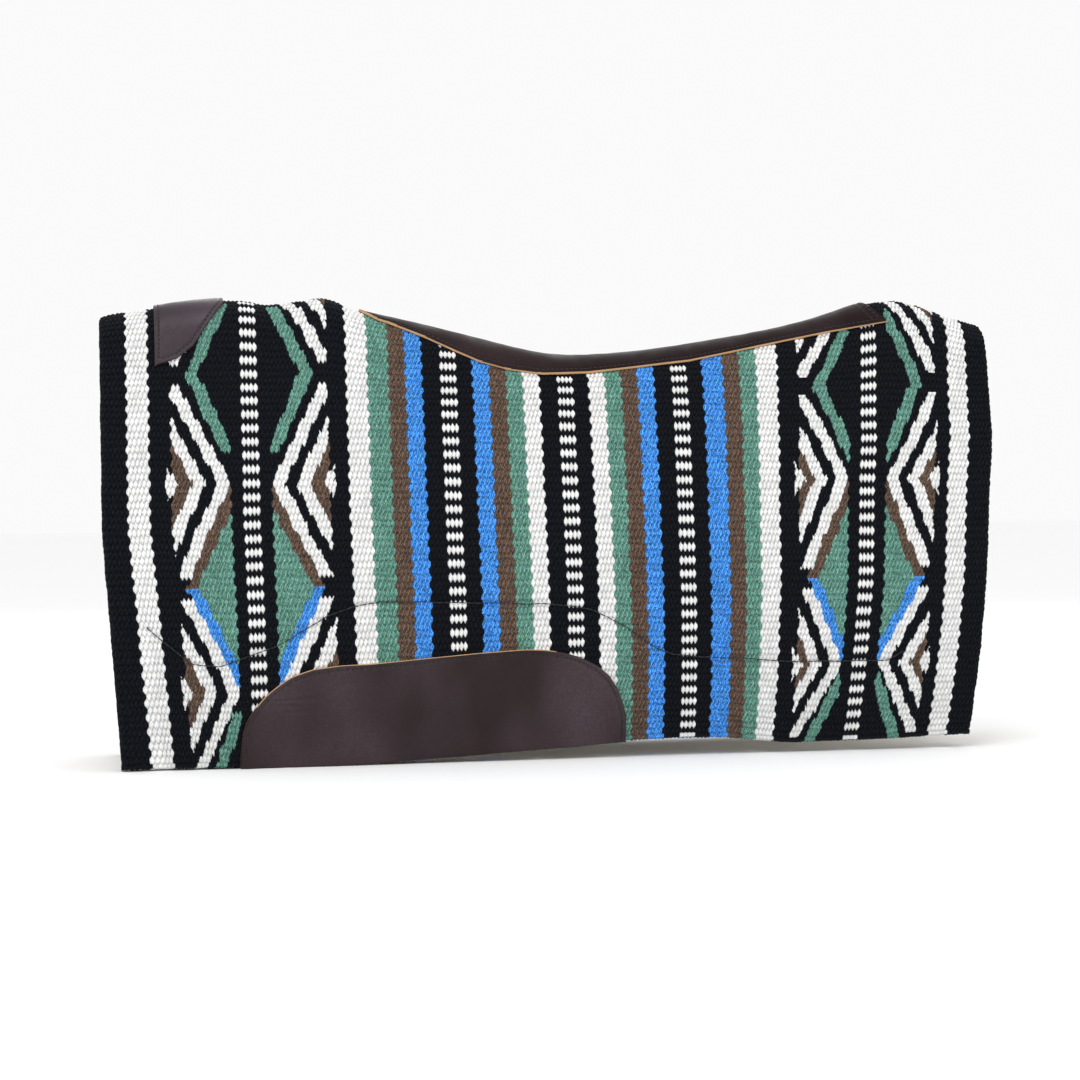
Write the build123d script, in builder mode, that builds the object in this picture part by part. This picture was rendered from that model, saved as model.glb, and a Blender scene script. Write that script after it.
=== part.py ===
"""Contoured western show saddle pad: a woven blanket over felt panels and a fleece lining.

Frame: +X towards the rear, -Y the near (left) side, +Z up. The origin is on the floor plane,
under the middle of the spine. The pad stands on the lower edges of its two flanks.
"""
import os
from math import cos, radians, sin, tan

from build123d import *

os.makedirs("parts", exist_ok=True)

# Overall shape, in millimetres and degrees
pad_length = 850.0
flank_lean = 12.0
apex_height = 543.0
fold_height = 335.0
bend_height = 190.0
bend_radius = 520.0
bend_turn = 26.0
front_taper = 14.0
front_taper_height = 220.0
rear_taper = 38.0
rear_taper_height = 300.0

# Spine height at stations from the front edge to the rear edge
spine_stations = [
    (-425.0, 404.0),
    (-380.0, 419.0),
    (-240.0, 426.0),
    (-120.0, 404.0),
    (15.0, 378.0),
    (160.0, 391.0),
    (270.0, 415.0),
    (345.0, 431.0),
    (392.0, 417.0),
    (425.0, 408.0),
]

# Layers, counted inwards from the outer face of the woven top
gap = 0.3
top_thickness = 5.0
core_thickness = 9.0
lining_thickness = 8.0
leather_thickness = 2.5
thread = 0.8
fold_closing = 9.5

# Leathers and seams
stitch_inset = 4.0
hem_inset = 2.5
wear_front = -303.0
wear_rear = 51.0
dart_middle = 60.0
dart_length = 440.0

half_length = pad_length / 2
inner_half = half_length - top_thickness
layer_half = inner_half - gap
core_outer = top_thickness + gap
core_inner = core_outer + core_thickness
lining_outer = core_inner + gap
flank_depth = lining_outer + lining_thickness
seam_inner = core_outer + thread
crown_lining = seam_inner + gap
crown_depth = crown_lining + lining_thickness
leather_inner = -gap
leather_outer = leather_inner - leather_thickness
stitch_inner = leather_outer - gap
stitch_outer = stitch_inner - thread
reach = 60.0

lean = radians(flank_lean)
outward = Vector(-cos(lean), sin(lean))
downhill = Vector(-sin(lean), -cos(lean))
fold_point = Vector(-(apex_height - fold_height) * tan(lean), fold_height)
bend_point = Vector(-(apex_height - bend_height) * tan(lean), bend_height)
bend_centre = bend_point - outward * bend_radius


def mirrored(point):
    """The same point on the far side of the spine."""
    return Vector(-point.X, point.Y)


def crown_outline(spine_height, outer, inner):
    """Section of one layer over the spine, from fold line to fold line."""
    radius = (apex_height - spine_height) / (1 / sin(lean) - 1)
    centre = Vector(0, spine_height - radius)
    ends = []
    with BuildLine() as outline:
        for depth in (outer, inner):
            end = fold_point - outward * depth
            tangent = centre + outward * (radius - depth)
            top = centre + Vector(0, radius - depth)
            Line(end, tangent)
            ThreePointArc(tangent, top, mirrored(tangent))
            Line(mirrored(tangent), mirrored(end))
            ends.append(end)
        Line(ends[0], ends[1])
        Line(mirrored(ends[0]), mirrored(ends[1]))
    make_face(outline.edges())


def crown_layer(outer, inner):
    """One layer over the spine, lofted through the stations."""
    sections = []
    for station, spine_height in spine_stations:
        with BuildSketch(Plane.YZ.offset(station)) as section:
            crown_outline(spine_height, outer, inner)
        sections.append(section.sketch)
    loft(sections=sections)


def flank_outline(outer, inner, lowest, rise=0.0):
    """Section of one layer of the near flank, from the fold line down to height lowest."""
    starts = []
    finishes = []
    with BuildLine() as outline:
        for depth in (outer, inner):
            drop = gap + depth * tan(radians(fold_closing)) - rise
            start = fold_point - outward * depth + downhill * drop
            Line(start, bend_point - outward * depth)
            curve = CenterArc(bend_centre, bend_radius - depth, 180 - flank_lean, bend_turn)
            starts.append(start)
            finishes.append(curve @ 1)
        Line(starts[0], starts[1])
        Line(finishes[0], finishes[1])
    make_face(outline.edges())
    with Locations((0, lowest)):
        Rectangle(pad_length, pad_length, align=(Align.CENTER, Align.MIN), mode=Mode.INTERSECT)


def wear_outline():
    """Side view of a wear leather: a half oval that runs out below the hem."""
    with BuildLine() as outline:
        Polyline(
            (wear_rear, 12),
            (wear_rear, -reach),
            (wear_front, -reach),
            (wear_front, 12),
        )
        ThreePointArc((wear_front, 12), (-284, 66), (-240, 88))
        ThreePointArc((-240, 88), (-135, 97), (-35, 101))
        ThreePointArc((-35, 101), (25, 82), (wear_rear, 12))
    make_face(outline.edges())


def spine_outline():
    """Side view of the spine leather: pointed in front, cut to a notch behind."""
    with BuildLine() as outline:
        ThreePointArc((-182, 411), (-150, 402), (-110, 385))
        ThreePointArc((-110, 385), (-5, 357), (100, 367))
        ThreePointArc((100, 367), (210, 386), (326, 408))
        Polyline((326, 408), (298, 424), (298, 424 + reach), (-182, 424 + reach), (-182, 411))
    make_face(outline.edges())


def wither_outline():
    """Side view of the wither leather: straight in front, rounded behind."""
    with BuildLine() as outline:
        Polyline((-311, 424), (-311, 424 + reach), (-375, 424 + reach), (-375, 366))
        ThreePointArc((-375, 366), (-337, 389), (-311, 424))
    make_face(outline.edges())


def quilting_path():
    """Side view of the quilting seam, from the front border to the rear border."""
    Spline(
        (-387, 131),
        (-340, 94),
        (-272, 110),
        (-200, 145),
        (-100, 146),
        (0, 142),
        (60, 113),
        (123, 88),
        (290, 82),
        (322, 92),
    )


def seam_band(outline):
    """Side view of a row of stitches that follows an outline from inside."""
    with BuildSketch(Plane.XZ) as inside:
        outline()
        offset(amount=-stitch_inset - thread)
    with BuildSketch(Plane.XZ) as band:
        outline()
        offset(amount=-stitch_inset)
        add(inside.sketch_local, mode=Mode.SUBTRACT)
    return band.sketch


def side_outline(inset, lowest):
    """Side view of the pad, which narrows towards the hem, with its ends moved in by inset."""
    front_foot = front_taper * (1 - lowest / front_taper_height)
    rear_foot = rear_taper * (1 - lowest / rear_taper_height)
    with BuildLine() as outline:
        Polyline(
            (-half_length + inset, apex_height),
            (-half_length + inset, front_taper_height),
            (-half_length + inset + front_foot, lowest),
            (half_length - inset - rear_foot, lowest),
            (half_length - inset, rear_taper_height),
            (half_length - inset, apex_height),
            close=True,
        )
    make_face(outline.edges())


def side_panel(inset):
    """Sketch that trims a flank layer to the side view of the pad."""
    with BuildSketch(Plane.XZ) as panel:
        side_outline(inset, -reach)
    return panel.sketch


def hem_outline():
    """Side view of the whole pad, for the seam that holds the turned hem."""
    side_outline(hem_inset - stitch_inset, hem_inset - stitch_inset)


# Layers of the spine strip
with BuildPart() as crown_pocket:
    crown_layer(top_thickness, flank_depth)
    Box(2 * inner_half, pad_length, 2 * apex_height, mode=Mode.INTERSECT)

with BuildPart() as woven_top_spine:
    crown_layer(0, crown_depth)
    add(crown_pocket.part, mode=Mode.SUBTRACT)
woven_top_spine.part.label = "woven_top_spine"

with BuildPart() as lining_spine:
    crown_layer(crown_lining, crown_depth)
    Box(2 * layer_half, pad_length, 2 * apex_height, mode=Mode.INTERSECT)
lining_spine.part.label = "lining_spine"

with BuildPart() as dart_seam:
    crown_layer(core_outer, seam_inner)
    with Locations((dart_middle, 0, 0)):
        Box(dart_length, 2 * thread, 2 * apex_height, mode=Mode.INTERSECT)
dart_seam.part.label = "dart_seam"

with BuildPart() as hem_stitching_spine:
    crown_layer(crown_depth + gap, crown_depth + gap + thread)
    extrude(seam_band(hem_outline), amount=pad_length, both=True, mode=Mode.INTERSECT)
hem_stitching_spine.part.label = "hem_stitching_spine"

# Leathers over the spine, each with its row of stitches
with BuildPart() as spine_leather:
    crown_layer(leather_outer, leather_inner)
    with BuildSketch(Plane.XZ):
        spine_outline()
    extrude(amount=pad_length, both=True, mode=Mode.INTERSECT)
spine_leather.part.label = "spine_leather"

with BuildPart() as spine_stitching:
    crown_layer(stitch_outer, stitch_inner)
    extrude(seam_band(spine_outline), amount=pad_length, both=True, mode=Mode.INTERSECT)
spine_stitching.part.label = "spine_stitching"

with BuildPart() as wither_leather:
    crown_layer(leather_outer, leather_inner)
    with BuildSketch(Plane.XZ):
        wither_outline()
    extrude(amount=pad_length, both=True, mode=Mode.INTERSECT)
wither_leather.part.label = "wither_leather"

with BuildPart() as wither_stitching:
    crown_layer(stitch_outer, stitch_inner)
    extrude(seam_band(wither_outline), amount=pad_length, both=True, mode=Mode.INTERSECT)
wither_stitching.part.label = "wither_stitching"

# Near flank: the woven top is a shallow tray that holds the felt panel and the lining
with BuildPart() as near_pocket:
    with BuildSketch(Plane.YZ):
        flank_outline(top_thickness, flank_depth + reach, top_thickness, rise=reach)
    extrude(amount=half_length, both=True)
    extrude(side_panel(top_thickness), amount=pad_length, both=True, mode=Mode.INTERSECT)

with BuildPart() as woven_top_near:
    with BuildSketch(Plane.YZ):
        flank_outline(0, flank_depth, 0)
    extrude(amount=half_length, both=True)
    extrude(side_panel(0), amount=pad_length, both=True, mode=Mode.INTERSECT)
    add(near_pocket.part, mode=Mode.SUBTRACT)
woven_top_near.part.label = "woven_top_near"

with BuildPart() as core_near:
    with BuildSketch(Plane.YZ):
        flank_outline(core_outer, core_inner, core_outer)
    extrude(amount=layer_half, both=True)
    extrude(side_panel(core_outer), amount=pad_length, both=True, mode=Mode.INTERSECT)
core_near.part.label = "core_near"

with BuildPart() as lining_near:
    with BuildSketch(Plane.YZ):
        flank_outline(lining_outer, flank_depth, core_outer)
    extrude(amount=layer_half, both=True)
    extrude(side_panel(core_outer), amount=pad_length, both=True, mode=Mode.INTERSECT)
lining_near.part.label = "lining_near"

with BuildPart() as wear_leather_near:
    with BuildSketch(Plane.YZ):
        flank_outline(leather_outer, leather_inner, 0)
    extrude(amount=half_length, both=True)
    with BuildSketch(Plane.XZ):
        wear_outline()
    extrude(amount=pad_length, both=True, mode=Mode.INTERSECT)
wear_leather_near.part.label = "wear_leather_near"

with BuildPart() as wear_stitching_near:
    with BuildSketch(Plane.YZ):
        flank_outline(stitch_outer, stitch_inner, 0)
    extrude(amount=half_length, both=True)
    extrude(seam_band(wear_outline), amount=pad_length, both=True, mode=Mode.INTERSECT)
wear_stitching_near.part.label = "wear_stitching_near"

with BuildPart() as quilting_near:
    with BuildSketch(Plane.YZ):
        flank_outline(-gap - thread, -gap, 0)
    extrude(amount=half_length, both=True)
    with BuildSketch(Plane.XZ):
        with BuildLine():
            quilting_path()
        trace(line_width=thread)
    extrude(amount=pad_length, both=True, mode=Mode.INTERSECT)
quilting_near.part.label = "quilting_near"

with BuildPart() as hem_stitching_near:
    with BuildSketch(Plane.YZ):
        flank_outline(flank_depth + gap, flank_depth + gap + thread, 0)
    extrude(amount=half_length, both=True)
    extrude(seam_band(hem_outline), amount=pad_length, both=True, mode=Mode.INTERSECT)
hem_stitching_near.part.label = "hem_stitching_near"

spine_pieces = [
    woven_top_spine,
    lining_spine,
    dart_seam,
    hem_stitching_spine,
    spine_leather,
    spine_stitching,
    wither_leather,
    wither_stitching,
]
near_pieces = [
    woven_top_near,
    core_near,
    lining_near,
    wear_leather_near,
    wear_stitching_near,
    quilting_near,
    hem_stitching_near,
]

for piece in spine_pieces + near_pieces:
    export_step(piece.part, f"parts/{piece.part.label}.step")

# The far flank is the near flank mirrored across the spine
for near in near_pieces:
    with BuildPart() as far:
        mirror(near.part, about=Plane.XZ)
    far.part.label = near.part.label.replace("near", "far")
    export_step(far.part, f"parts/{far.part.label}.step")
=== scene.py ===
"""Looks of the contoured show saddle pad: woven wool top, leathers, stitching and fleece lining."""

import math

import bpy
import numpy as np
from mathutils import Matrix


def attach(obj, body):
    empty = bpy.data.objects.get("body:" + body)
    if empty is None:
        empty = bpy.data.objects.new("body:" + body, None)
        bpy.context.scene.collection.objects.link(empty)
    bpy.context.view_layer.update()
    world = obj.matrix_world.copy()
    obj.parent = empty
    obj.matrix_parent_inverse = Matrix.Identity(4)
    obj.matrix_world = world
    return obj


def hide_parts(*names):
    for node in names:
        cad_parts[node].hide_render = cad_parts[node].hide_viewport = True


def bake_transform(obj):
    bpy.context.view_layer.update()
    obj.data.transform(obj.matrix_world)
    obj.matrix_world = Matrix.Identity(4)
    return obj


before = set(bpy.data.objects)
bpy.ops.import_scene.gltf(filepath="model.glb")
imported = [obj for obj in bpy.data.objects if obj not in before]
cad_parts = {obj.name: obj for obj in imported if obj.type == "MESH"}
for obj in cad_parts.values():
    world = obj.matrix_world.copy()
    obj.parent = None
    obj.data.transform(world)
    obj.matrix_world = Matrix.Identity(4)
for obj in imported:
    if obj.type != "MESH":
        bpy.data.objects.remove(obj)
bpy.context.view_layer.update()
rng = np.random.default_rng(11)

# ---- shape of the pad, in millimetres
LEAN = math.radians(12)
SIN, COS = math.sin(LEAN), math.cos(LEAN)
APEX, FOLD_Z, BEND_Z, BEND_R = 543.0, 335.0, 190.0, 520.0
BEND_Y = (APEX - BEND_Z) * math.tan(LEAN)
CENTRE_Y, CENTRE_Z = BEND_Y - BEND_R * COS, BEND_Z - BEND_R * SIN
ARC = BEND_R * (LEAN + math.asin(CENTRE_Z / BEND_R))
FOLD_S = ARC + (FOLD_Z - BEND_Z) / COS
HALF_LENGTH, EDGE_ROLL = 425.0, 5.0
FLANK_DEPTH, CROWN_DEPTH = 22.6, 14.4
STATIONS = [-425, -380, -240, -120, 15, 160, 270, 345, 392, 425]
RIDGE = [404, 419, 426, 404, 378, 391, 415, 431, 417, 408]


def natural_spline(xs, ys):
    """A function that reads the natural cubic spline through the points."""
    xs, ys = np.array(xs, float), np.array(ys, float)
    n, h = len(xs), np.diff(xs)
    a, b = np.eye(n), np.zeros(n)
    for i in range(1, n - 1):
        a[i, i - 1 : i + 2] = h[i - 1], 2 * (h[i - 1] + h[i]), h[i]
        b[i] = 6 * ((ys[i + 1] - ys[i]) / h[i] - (ys[i] - ys[i - 1]) / h[i - 1])
    m = np.linalg.solve(a, b)

    def read(x):
        x = np.clip(x, xs[0], xs[-1])
        i = np.clip(np.searchsorted(xs, x) - 1, 0, n - 2)
        t, w = x - xs[i], h[i]
        slope = (ys[i + 1] - ys[i]) / w - w * (2 * m[i] + m[i + 1]) / 6
        return ys[i] + slope * t + m[i] * t**2 / 2 + (m[i + 1] - m[i]) * t**3 / (6 * w)

    return read


even_ridge = natural_spline(STATIONS, RIDGE)
RIDGE_WAVES = [(-425, 38, 9.0), (-272, 14, -3.0), (-216, 24, 9.0), (-5, 45, -2.5)]


def ridge(x):
    """Height of the ridge: the pad's contour with its soft waves, each a place, a width and a height."""
    waves = [height * np.exp(-(((x - place) / width) ** 2)) for place, width, height in RIDGE_WAVES]
    return even_ridge(x) + sum(waves)


def crown(x):
    """Radius over the spine, height of its centre, and length of the flat flank below it."""
    height = ridge(x)
    radius = (APEX - height) / (1 / SIN - 1)
    centre = height - radius
    return radius, centre, (centre + radius * SIN - BEND_Z) / COS


def to_ridge(x):
    """Length of cloth from the hem to the ridge."""
    radius, _, flat = crown(x)
    return ARC + flat + radius * (math.pi / 2 - LEAN)


def ripple(x, y, size, seed, waves=7):
    """Smooth seeded unevenness, about -1 to 1, with features of the given size."""
    g = np.random.default_rng(seed)
    total = 0.0
    for _ in range(waves):
        angle, pitch, phase = g.uniform(0, math.pi), size * g.uniform(0.7, 1.6), g.uniform(0, 6.28)
        total = total + np.sin(2 * math.pi * (x * math.cos(angle) + y * math.sin(angle)) / pitch + phase)
    return total / waves**0.5 / 1.6


HEM_X = [-425, -220, -113, -45, 15, 60, 110, 150, 212, 300, 425]
HEM_UP = [0, 0, 5, 9, 12, 15, 16, 15, 8, 9, 13]
HEM_FADE, RIDGE_FADE, FLANK_WAVE = 190, 60, 0.7


def hem_lift(x, s):
    """How far the hem waves off the floor; the lift fades out up the cloth."""
    return np.interp(x, HEM_X, HEM_UP) * np.clip(1 - s / HEM_FADE, 0, 1) ** 2


def shell(x, s, out=0.0):
    """Points (x, y, z) and normals: s up the cloth from the hem, out beyond the pad's outer face."""
    x, s, out = np.broadcast_arrays(np.asarray(x, float), np.asarray(s, float), np.asarray(out, float))
    radius, centre, flat = crown(x)
    up = s - ARC
    angle = np.where(up < 0, LEAN + up / BEND_R, np.where(up < flat, LEAN, LEAN + (up - flat) / radius))
    y = np.where(up < flat, BEND_Y - up * SIN, radius * np.cos(angle))
    y = np.where(up < 0, CENTRE_Y + BEND_R * np.cos(angle), y)
    z = np.where(up < flat, BEND_Z + up * COS, centre + radius * np.sin(angle))
    z = np.where(up < 0, CENTRE_Z + BEND_R * np.sin(angle), z)
    fade = np.clip((to_ridge(x) - s) / RIDGE_FADE, 0, 1)
    out = out + FLANK_WAVE * fade * ripple(x, s, 130, 3)
    z = z + hem_lift(x, s)
    normal = np.stack([np.zeros_like(x), np.cos(angle), np.sin(angle)], -1)
    return np.stack([x, y, z], -1) + out[..., None] * normal, normal


def up_the_cloth(x, z):
    """Length up the cloth from the hem at height z."""
    radius, centre, flat = crown(x)
    low = ARC + (np.arcsin(np.clip((z - CENTRE_Z) / BEND_R, -1, 1)) - LEAN) * BEND_R
    middle = ARC + (z - BEND_Z) / COS
    high = ARC + flat + (np.arcsin(np.clip((z - centre) / radius, -1, 1)) - LEAN) * radius
    return np.where(z < BEND_Z, low, np.where(z < BEND_Z + flat * COS, middle, high))


def up_to_ridge(s, x0, x):
    """Length up the cloth for a line that leans from x0 to x, so that both halves still meet."""
    near = np.clip(1 - (to_ridge(x0) - s) / RIDGE_FADE, 0, 1)
    return s + (to_ridge(x) - to_ridge(x0)) * near**2


THINS_BELOW, THINS_OVER = 22, 30


def depth_of_layers(s):
    """Depth of the lining's inner face: thick on the flank, thinner over the spine."""
    t = np.clip((s - FOLD_S + THINS_BELOW) / THINS_OVER, 0, 1)
    return FLANK_DEPTH + (CROWN_DEPTH - FLANK_DEPTH) * t * t * (3 - 2 * t)


# ---- meshes
def placed(points, side):
    """Points in millimetres of the near (side -1) or far (side 1) half, in metres."""
    return points * np.array([0.001, 0.001 * side, 0.001])


def mesh_object(name, points, faces, slots=None):
    """A smooth mesh from points in metres and faces given as rows of indices, any length per row."""
    mesh = bpy.data.meshes.new(name)
    sizes = np.array([len(face) for face in faces], np.int32)
    loops = np.concatenate([np.asarray(face, np.int32) for face in faces])
    mesh.vertices.add(len(points))
    mesh.vertices.foreach_set("co", np.asarray(points, np.float32).ravel())
    mesh.loops.add(len(loops))
    mesh.loops.foreach_set("vertex_index", loops)
    mesh.polygons.add(len(sizes))
    starts = np.concatenate([[0], np.cumsum(sizes)[:-1]]).astype(np.int32)
    mesh.polygons.foreach_set("loop_start", starts)
    mesh.polygons.foreach_set("use_smooth", np.full(len(sizes), True))
    if slots is not None:
        mesh.polygons.foreach_set("material_index", np.asarray(slots, np.int32))
    mesh.update(calc_edges=True)
    mesh.validate()
    obj = bpy.data.objects.new(name, mesh)
    bpy.context.scene.collection.objects.link(obj)
    return obj


def grid_solid(name, top, bottom, side, edge_slot=1, rim=None):
    """A closed slab between two grids of the same shape.

    Its side walls, and its face where rim is true, take the edge material.
    """
    n, m = top.shape[:2]
    index = np.arange(n * m).reshape(n, m)
    quads = np.stack([index[:-1, :-1], index[1:, :-1], index[1:, 1:], index[:-1, 1:]], -1).reshape(-1, 4)
    ring = np.concatenate([index[:-1, 0], index[-1, :-1], index[:0:-1, -1], index[0, :0:-1]])
    turn = np.roll(ring, -1)
    below = n * m
    walls = np.stack([ring, ring + below, turn + below, turn], -1)
    lower = quads[:, ::-1] + below
    faces = np.concatenate([quads, lower, walls])
    if side > 0:
        faces = faces[:, ::-1]
    points = placed(np.concatenate([top.reshape(-1, 3), bottom.reshape(-1, 3)]), side)
    face_slots = np.zeros(len(quads))
    if rim is not None:
        face_slots = edge_slot * rim.reshape(-1)[quads].mean(axis=1).round()
    slots = np.concatenate([face_slots, np.zeros(len(quads)), np.full(len(walls), edge_slot)])
    return mesh_object(name, points, faces, slots)


def tubes(name, centre, normal, radius, side, around=8):
    """Closed threads: centre and normal are (thread, place, 3), radius is one per place."""
    count, places = centre.shape[:2]
    along = np.gradient(centre, axis=1)
    along /= np.linalg.norm(along, axis=2, keepdims=True)
    across = np.cross(along, normal)
    across /= np.linalg.norm(across, axis=2, keepdims=True)
    up = np.cross(across, along)
    angle = np.arange(around) * 2 * math.pi / around
    ring = across[:, :, None] * np.cos(angle)[:, None] + up[:, :, None] * np.sin(angle)[:, None]
    points = centre[:, :, None] + ring * np.reshape(radius, (1, places, 1, 1))
    index = np.arange(count * places * around).reshape(count, places, around)
    nxt = np.roll(index, -1, axis=2)
    quads = np.stack([index[:, :-1], nxt[:, :-1], nxt[:, 1:], index[:, 1:]], -1).reshape(-1, 4)
    caps = list(index[:, 0, ::-1]) + list(index[:, -1])
    faces = list(quads) + caps
    if side > 0:
        faces = [f[::-1] for f in faces]
    return mesh_object(name, placed(points.reshape(-1, 3), side), faces)


STITCH_PLACES, STITCH_TAPER = 7, 0.45
STITCH_ARCH = np.linspace(-1, 1, STITCH_PLACES) ** 4


def walk(path, start, length, gap):
    """Places along a path of (x, s) points for a row of stitches: (stitch, place, 2)."""
    path = np.asarray(path, float)
    steps = np.linalg.norm(np.diff(path, axis=0), axis=1)
    run = np.concatenate([[0], np.cumsum(steps)])
    heads = np.arange(start, run[-1] - length, length + gap)
    heads = heads + rng.uniform(-0.15, 0.15, len(heads)) * gap
    at = heads[:, None] + np.linspace(0, 1, STITCH_PLACES)[None] * length
    return np.stack([np.interp(at, run, path[:, 0]), np.interp(at, run, path[:, 1])], -1)


def stitches(name, path, out, side, length=3.4, gap=1.3, radius=0.5, dip=0.5):
    """A row of stitches that dives into the material at both ends of each stitch."""
    at = walk(path, gap, length, gap)
    centre, normal = shell(at[..., 0], at[..., 1], out - dip * STITCH_ARCH)
    return tubes(name, centre, normal, radius * (1 - STITCH_TAPER * STITCH_ARCH), side)


# ---- the weaving draft
FLOAT_COUNT = 213
PITCH = 2 * (HALF_LENGTH - EDGE_ROLL) / FLOAT_COUNT
RIB = 6.45
RIBS = 70
EVEN_RIBS = 50
DART = (-160.0, 250.0)
BLACK, WHITE, GREEN, BROWN, BLUE = range(5)
CHECKS, MOTIF = 5, 6
# From front to rear: a yarn or a pattern, and how many floats wide it is.
STRIPES = [
    (BLACK, 5), (WHITE, 5), (BLACK, 2), (MOTIF, 42), (BLACK, 2), (WHITE, 5), (GREEN, 5), (BROWN, 4),
    (BLUE, 4), (BLACK, 4), (CHECKS, 4), (BLACK, 4), (BLUE, 4), (BROWN, 4), (GREEN, 4), (WHITE, 4),
    (BLACK, 4), (CHECKS, 4), (BLACK, 4), (WHITE, 4), (GREEN, 4), (BROWN, 4), (BLUE, 4), (BLACK, 4),
    (CHECKS, 4), (BLACK, 4), (BLUE, 5), (BROWN, 4), (GREEN, 4), (WHITE, 5), (BLACK, 2), (MOTIF, 40),
    (BLACK, 1), (WHITE, 5), (BLACK, 5),
]


CHECKS_HALF, BLACK_HALF = 2.1, 4.6
RIM_FROM, LINE_FROM, LINE_TO, INNER_FROM, INNER_TO = 2.0, 4.7, 7.7, 10.4, 13.4
FILLED_SHUT, HOLLOW_SHUT = 6.8, 5.3
HEART_SLOPE, HEART_IN, HEART_OUT = 1.1, 1.7, 1.1
CHEVRON_IN, CHEVRON_SLOPE, CHEVRON_HALF, CHEVRON_LONG = 5.0, 0.70, 1.5, 11.8
LINE_STOP, RIM_STOP = 1.5, 0.6


def motif(a, r, crossings, widest, half):
    """Yarn of the diamond motif at a floats from its middle and rib r; half is its half width.

    The diamonds are shut at the crossings and widest between them. A filled one has a coloured rim
    round green, a hollow one a green chevron on black.
    """
    low, mid, top = crossings
    green, dark = widest
    spans = [
        (2 * low - green, low, low, None), (low, green, low, BLUE), (green, mid, mid, BROWN),
        (mid, dark, mid, None), (dark, top, top, None),
    ]
    colour = np.full(a.shape, BLACK)
    for start, end, crossing, rim in spans:
        length = end - start
        past = np.abs(r - crossing)
        w = a - (half - (FILLED_SHUT if rim else HOLLOW_SHUT)) * past / length
        to_wide = length - past
        borders = [w < LINE_FROM, w < LINE_TO, w < INNER_FROM, w < INNER_TO]
        bands = np.select(borders, [BLACK, WHITE, BLACK, WHITE], BROWN)
        heart = a - HEART_SLOPE * past > half - HEART_IN
        bands = np.where(heart, WHITE, bands)
        outside = (a > half) & ~heart | (a > half + HEART_OUT)
        stopped = (w > LINE_FROM) & (w < LINE_TO) & (to_wide < LINE_STOP)
        bands = np.where(outside | stopped, BLACK, bands)
        if rim:
            bands = np.where((w >= RIM_FROM) & (w < LINE_FROM) & (past > RIM_STOP), rim, bands)
            bands = np.where(w < RIM_FROM, GREEN, bands)
        else:
            chevron = a - (half - CHEVRON_IN - CHEVRON_SLOPE * to_wide)
            bands = np.where((np.abs(chevron) < CHEVRON_HALF) & (to_wide < CHEVRON_LONG), GREEN, bands)
        colour = np.where((r >= start) & ((r < end) | (end == top)), bands, colour)
    colour = np.where(a < BLACK_HALF, BLACK, colour)
    checks = (a < CHECKS_HALF) & (np.floor(r) % 2 == 0)
    return np.where(checks, WHITE, colour)


MOTIFS = [
    {"crossings": (11.0, 40.5, 72.5), "widest": (25.5, 56.5)},
    {"crossings": (12.5, 40.3, 69.5), "widest": (25.5, 55.0)},
]
FOLLOWS, RAGGED = 0.45, 0.30
WHOLE_FLOATS, WHOLE_RIBS, MOTIF_MARGIN = 5, 2.2, 2.7


def draft(u, c, rib, r):
    """Yarn colour at u floats and rib line r, in the float centred at c of that rib."""
    colour = np.full(c.shape, BLACK)
    start = 0
    motifs = iter(MOTIFS)
    for kind, floats in STRIPES:
        here = (c >= start) & (c < start + floats)
        if kind == CHECKS:
            colour = np.where(here & (rib % 2 == 0), WHITE, colour)
        elif kind == MOTIF:
            near_c = c + FOLLOWS * (u - c) + RAGGED * ripple(u, r, 3.5, 81)
            near_r = rib + 0.5 + FOLLOWS * (r - rib - 0.5)
            whole = np.abs(c - start - floats / 2)
            aside = np.where(whole < WHOLE_FLOATS, whole, np.abs(near_c - start - floats / 2))
            height = np.where(aside < WHOLE_RIBS, rib + 0.5, near_r)
            found = motif(aside, height, half=floats / 2 - MOTIF_MARGIN, **next(motifs))
            colour = np.where(here, found, colour)
        else:
            colour = np.where(here, kind, colour)
        start += floats
    return colour


def drift(x, z):
    """How far the cloth's lines lean towards the middle as they go down."""
    reach = np.interp(x, [-425, -391, -294, 4, 117, 296, 390, 425], [14, 20, 5, 0, -5, -22, -31, -37])
    front = np.clip((220 - z) / 220, 0, 1)
    rear = np.clip((300 - z) / 290, 0, 1)
    lean = np.interp(x, [150, 296, 390, 425], [0, 1, 0.6, 0])
    lean = lean * np.interp(z, [10, 65, 165, 258, 320, 350, 390], [-7, -5, -1, 0, 3, 5, 8.5])
    return reach * np.where(x < 4, front, rear) + lean


def laid(x0, s):
    """Place along the pad of a line of the cloth, where it leans towards the middle lower down."""
    flat_point, _ = shell(x0, s)
    return x0 + drift(x0, flat_point[..., 2])


def cloth_height(r, x):
    """Length up the cloth of rib line r: even at the hem, closing up a little at the ridge."""
    full = to_ridge(x)
    ends = [to_ridge(np.array(d)) for d in DART]
    level = ends[0] + (ends[1] - ends[0]) * (x - DART[0]) / (DART[1] - DART[0])
    goal = np.where((x > DART[0]) & (x < DART[1]), level, full)
    even = EVEN_RIBS * RIB
    return np.where(r < EVEN_RIBS, r * RIB, even + (r - EVEN_RIBS) / (RIBS - EVEN_RIBS) * (goal - even))


QUILT_X = [
    -387, -380, -349, -322, -272, -239, -224, -201, -176, -137, -85, -23, 5,
    21, 36, 52, 61, 81, 97, 123, 167, 210, 290, 305, 322,
]
QUILT_Z = [
    131, 124, 97, 93, 110, 128, 137, 145, 149, 148, 146, 144, 141,
    137, 130, 120, 113, 98, 91, 88, 86, 83.5, 82.5, 83, 91.5,
]
QUILT_DIP, QUILT_REACH = 1.5, 3.2


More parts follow.
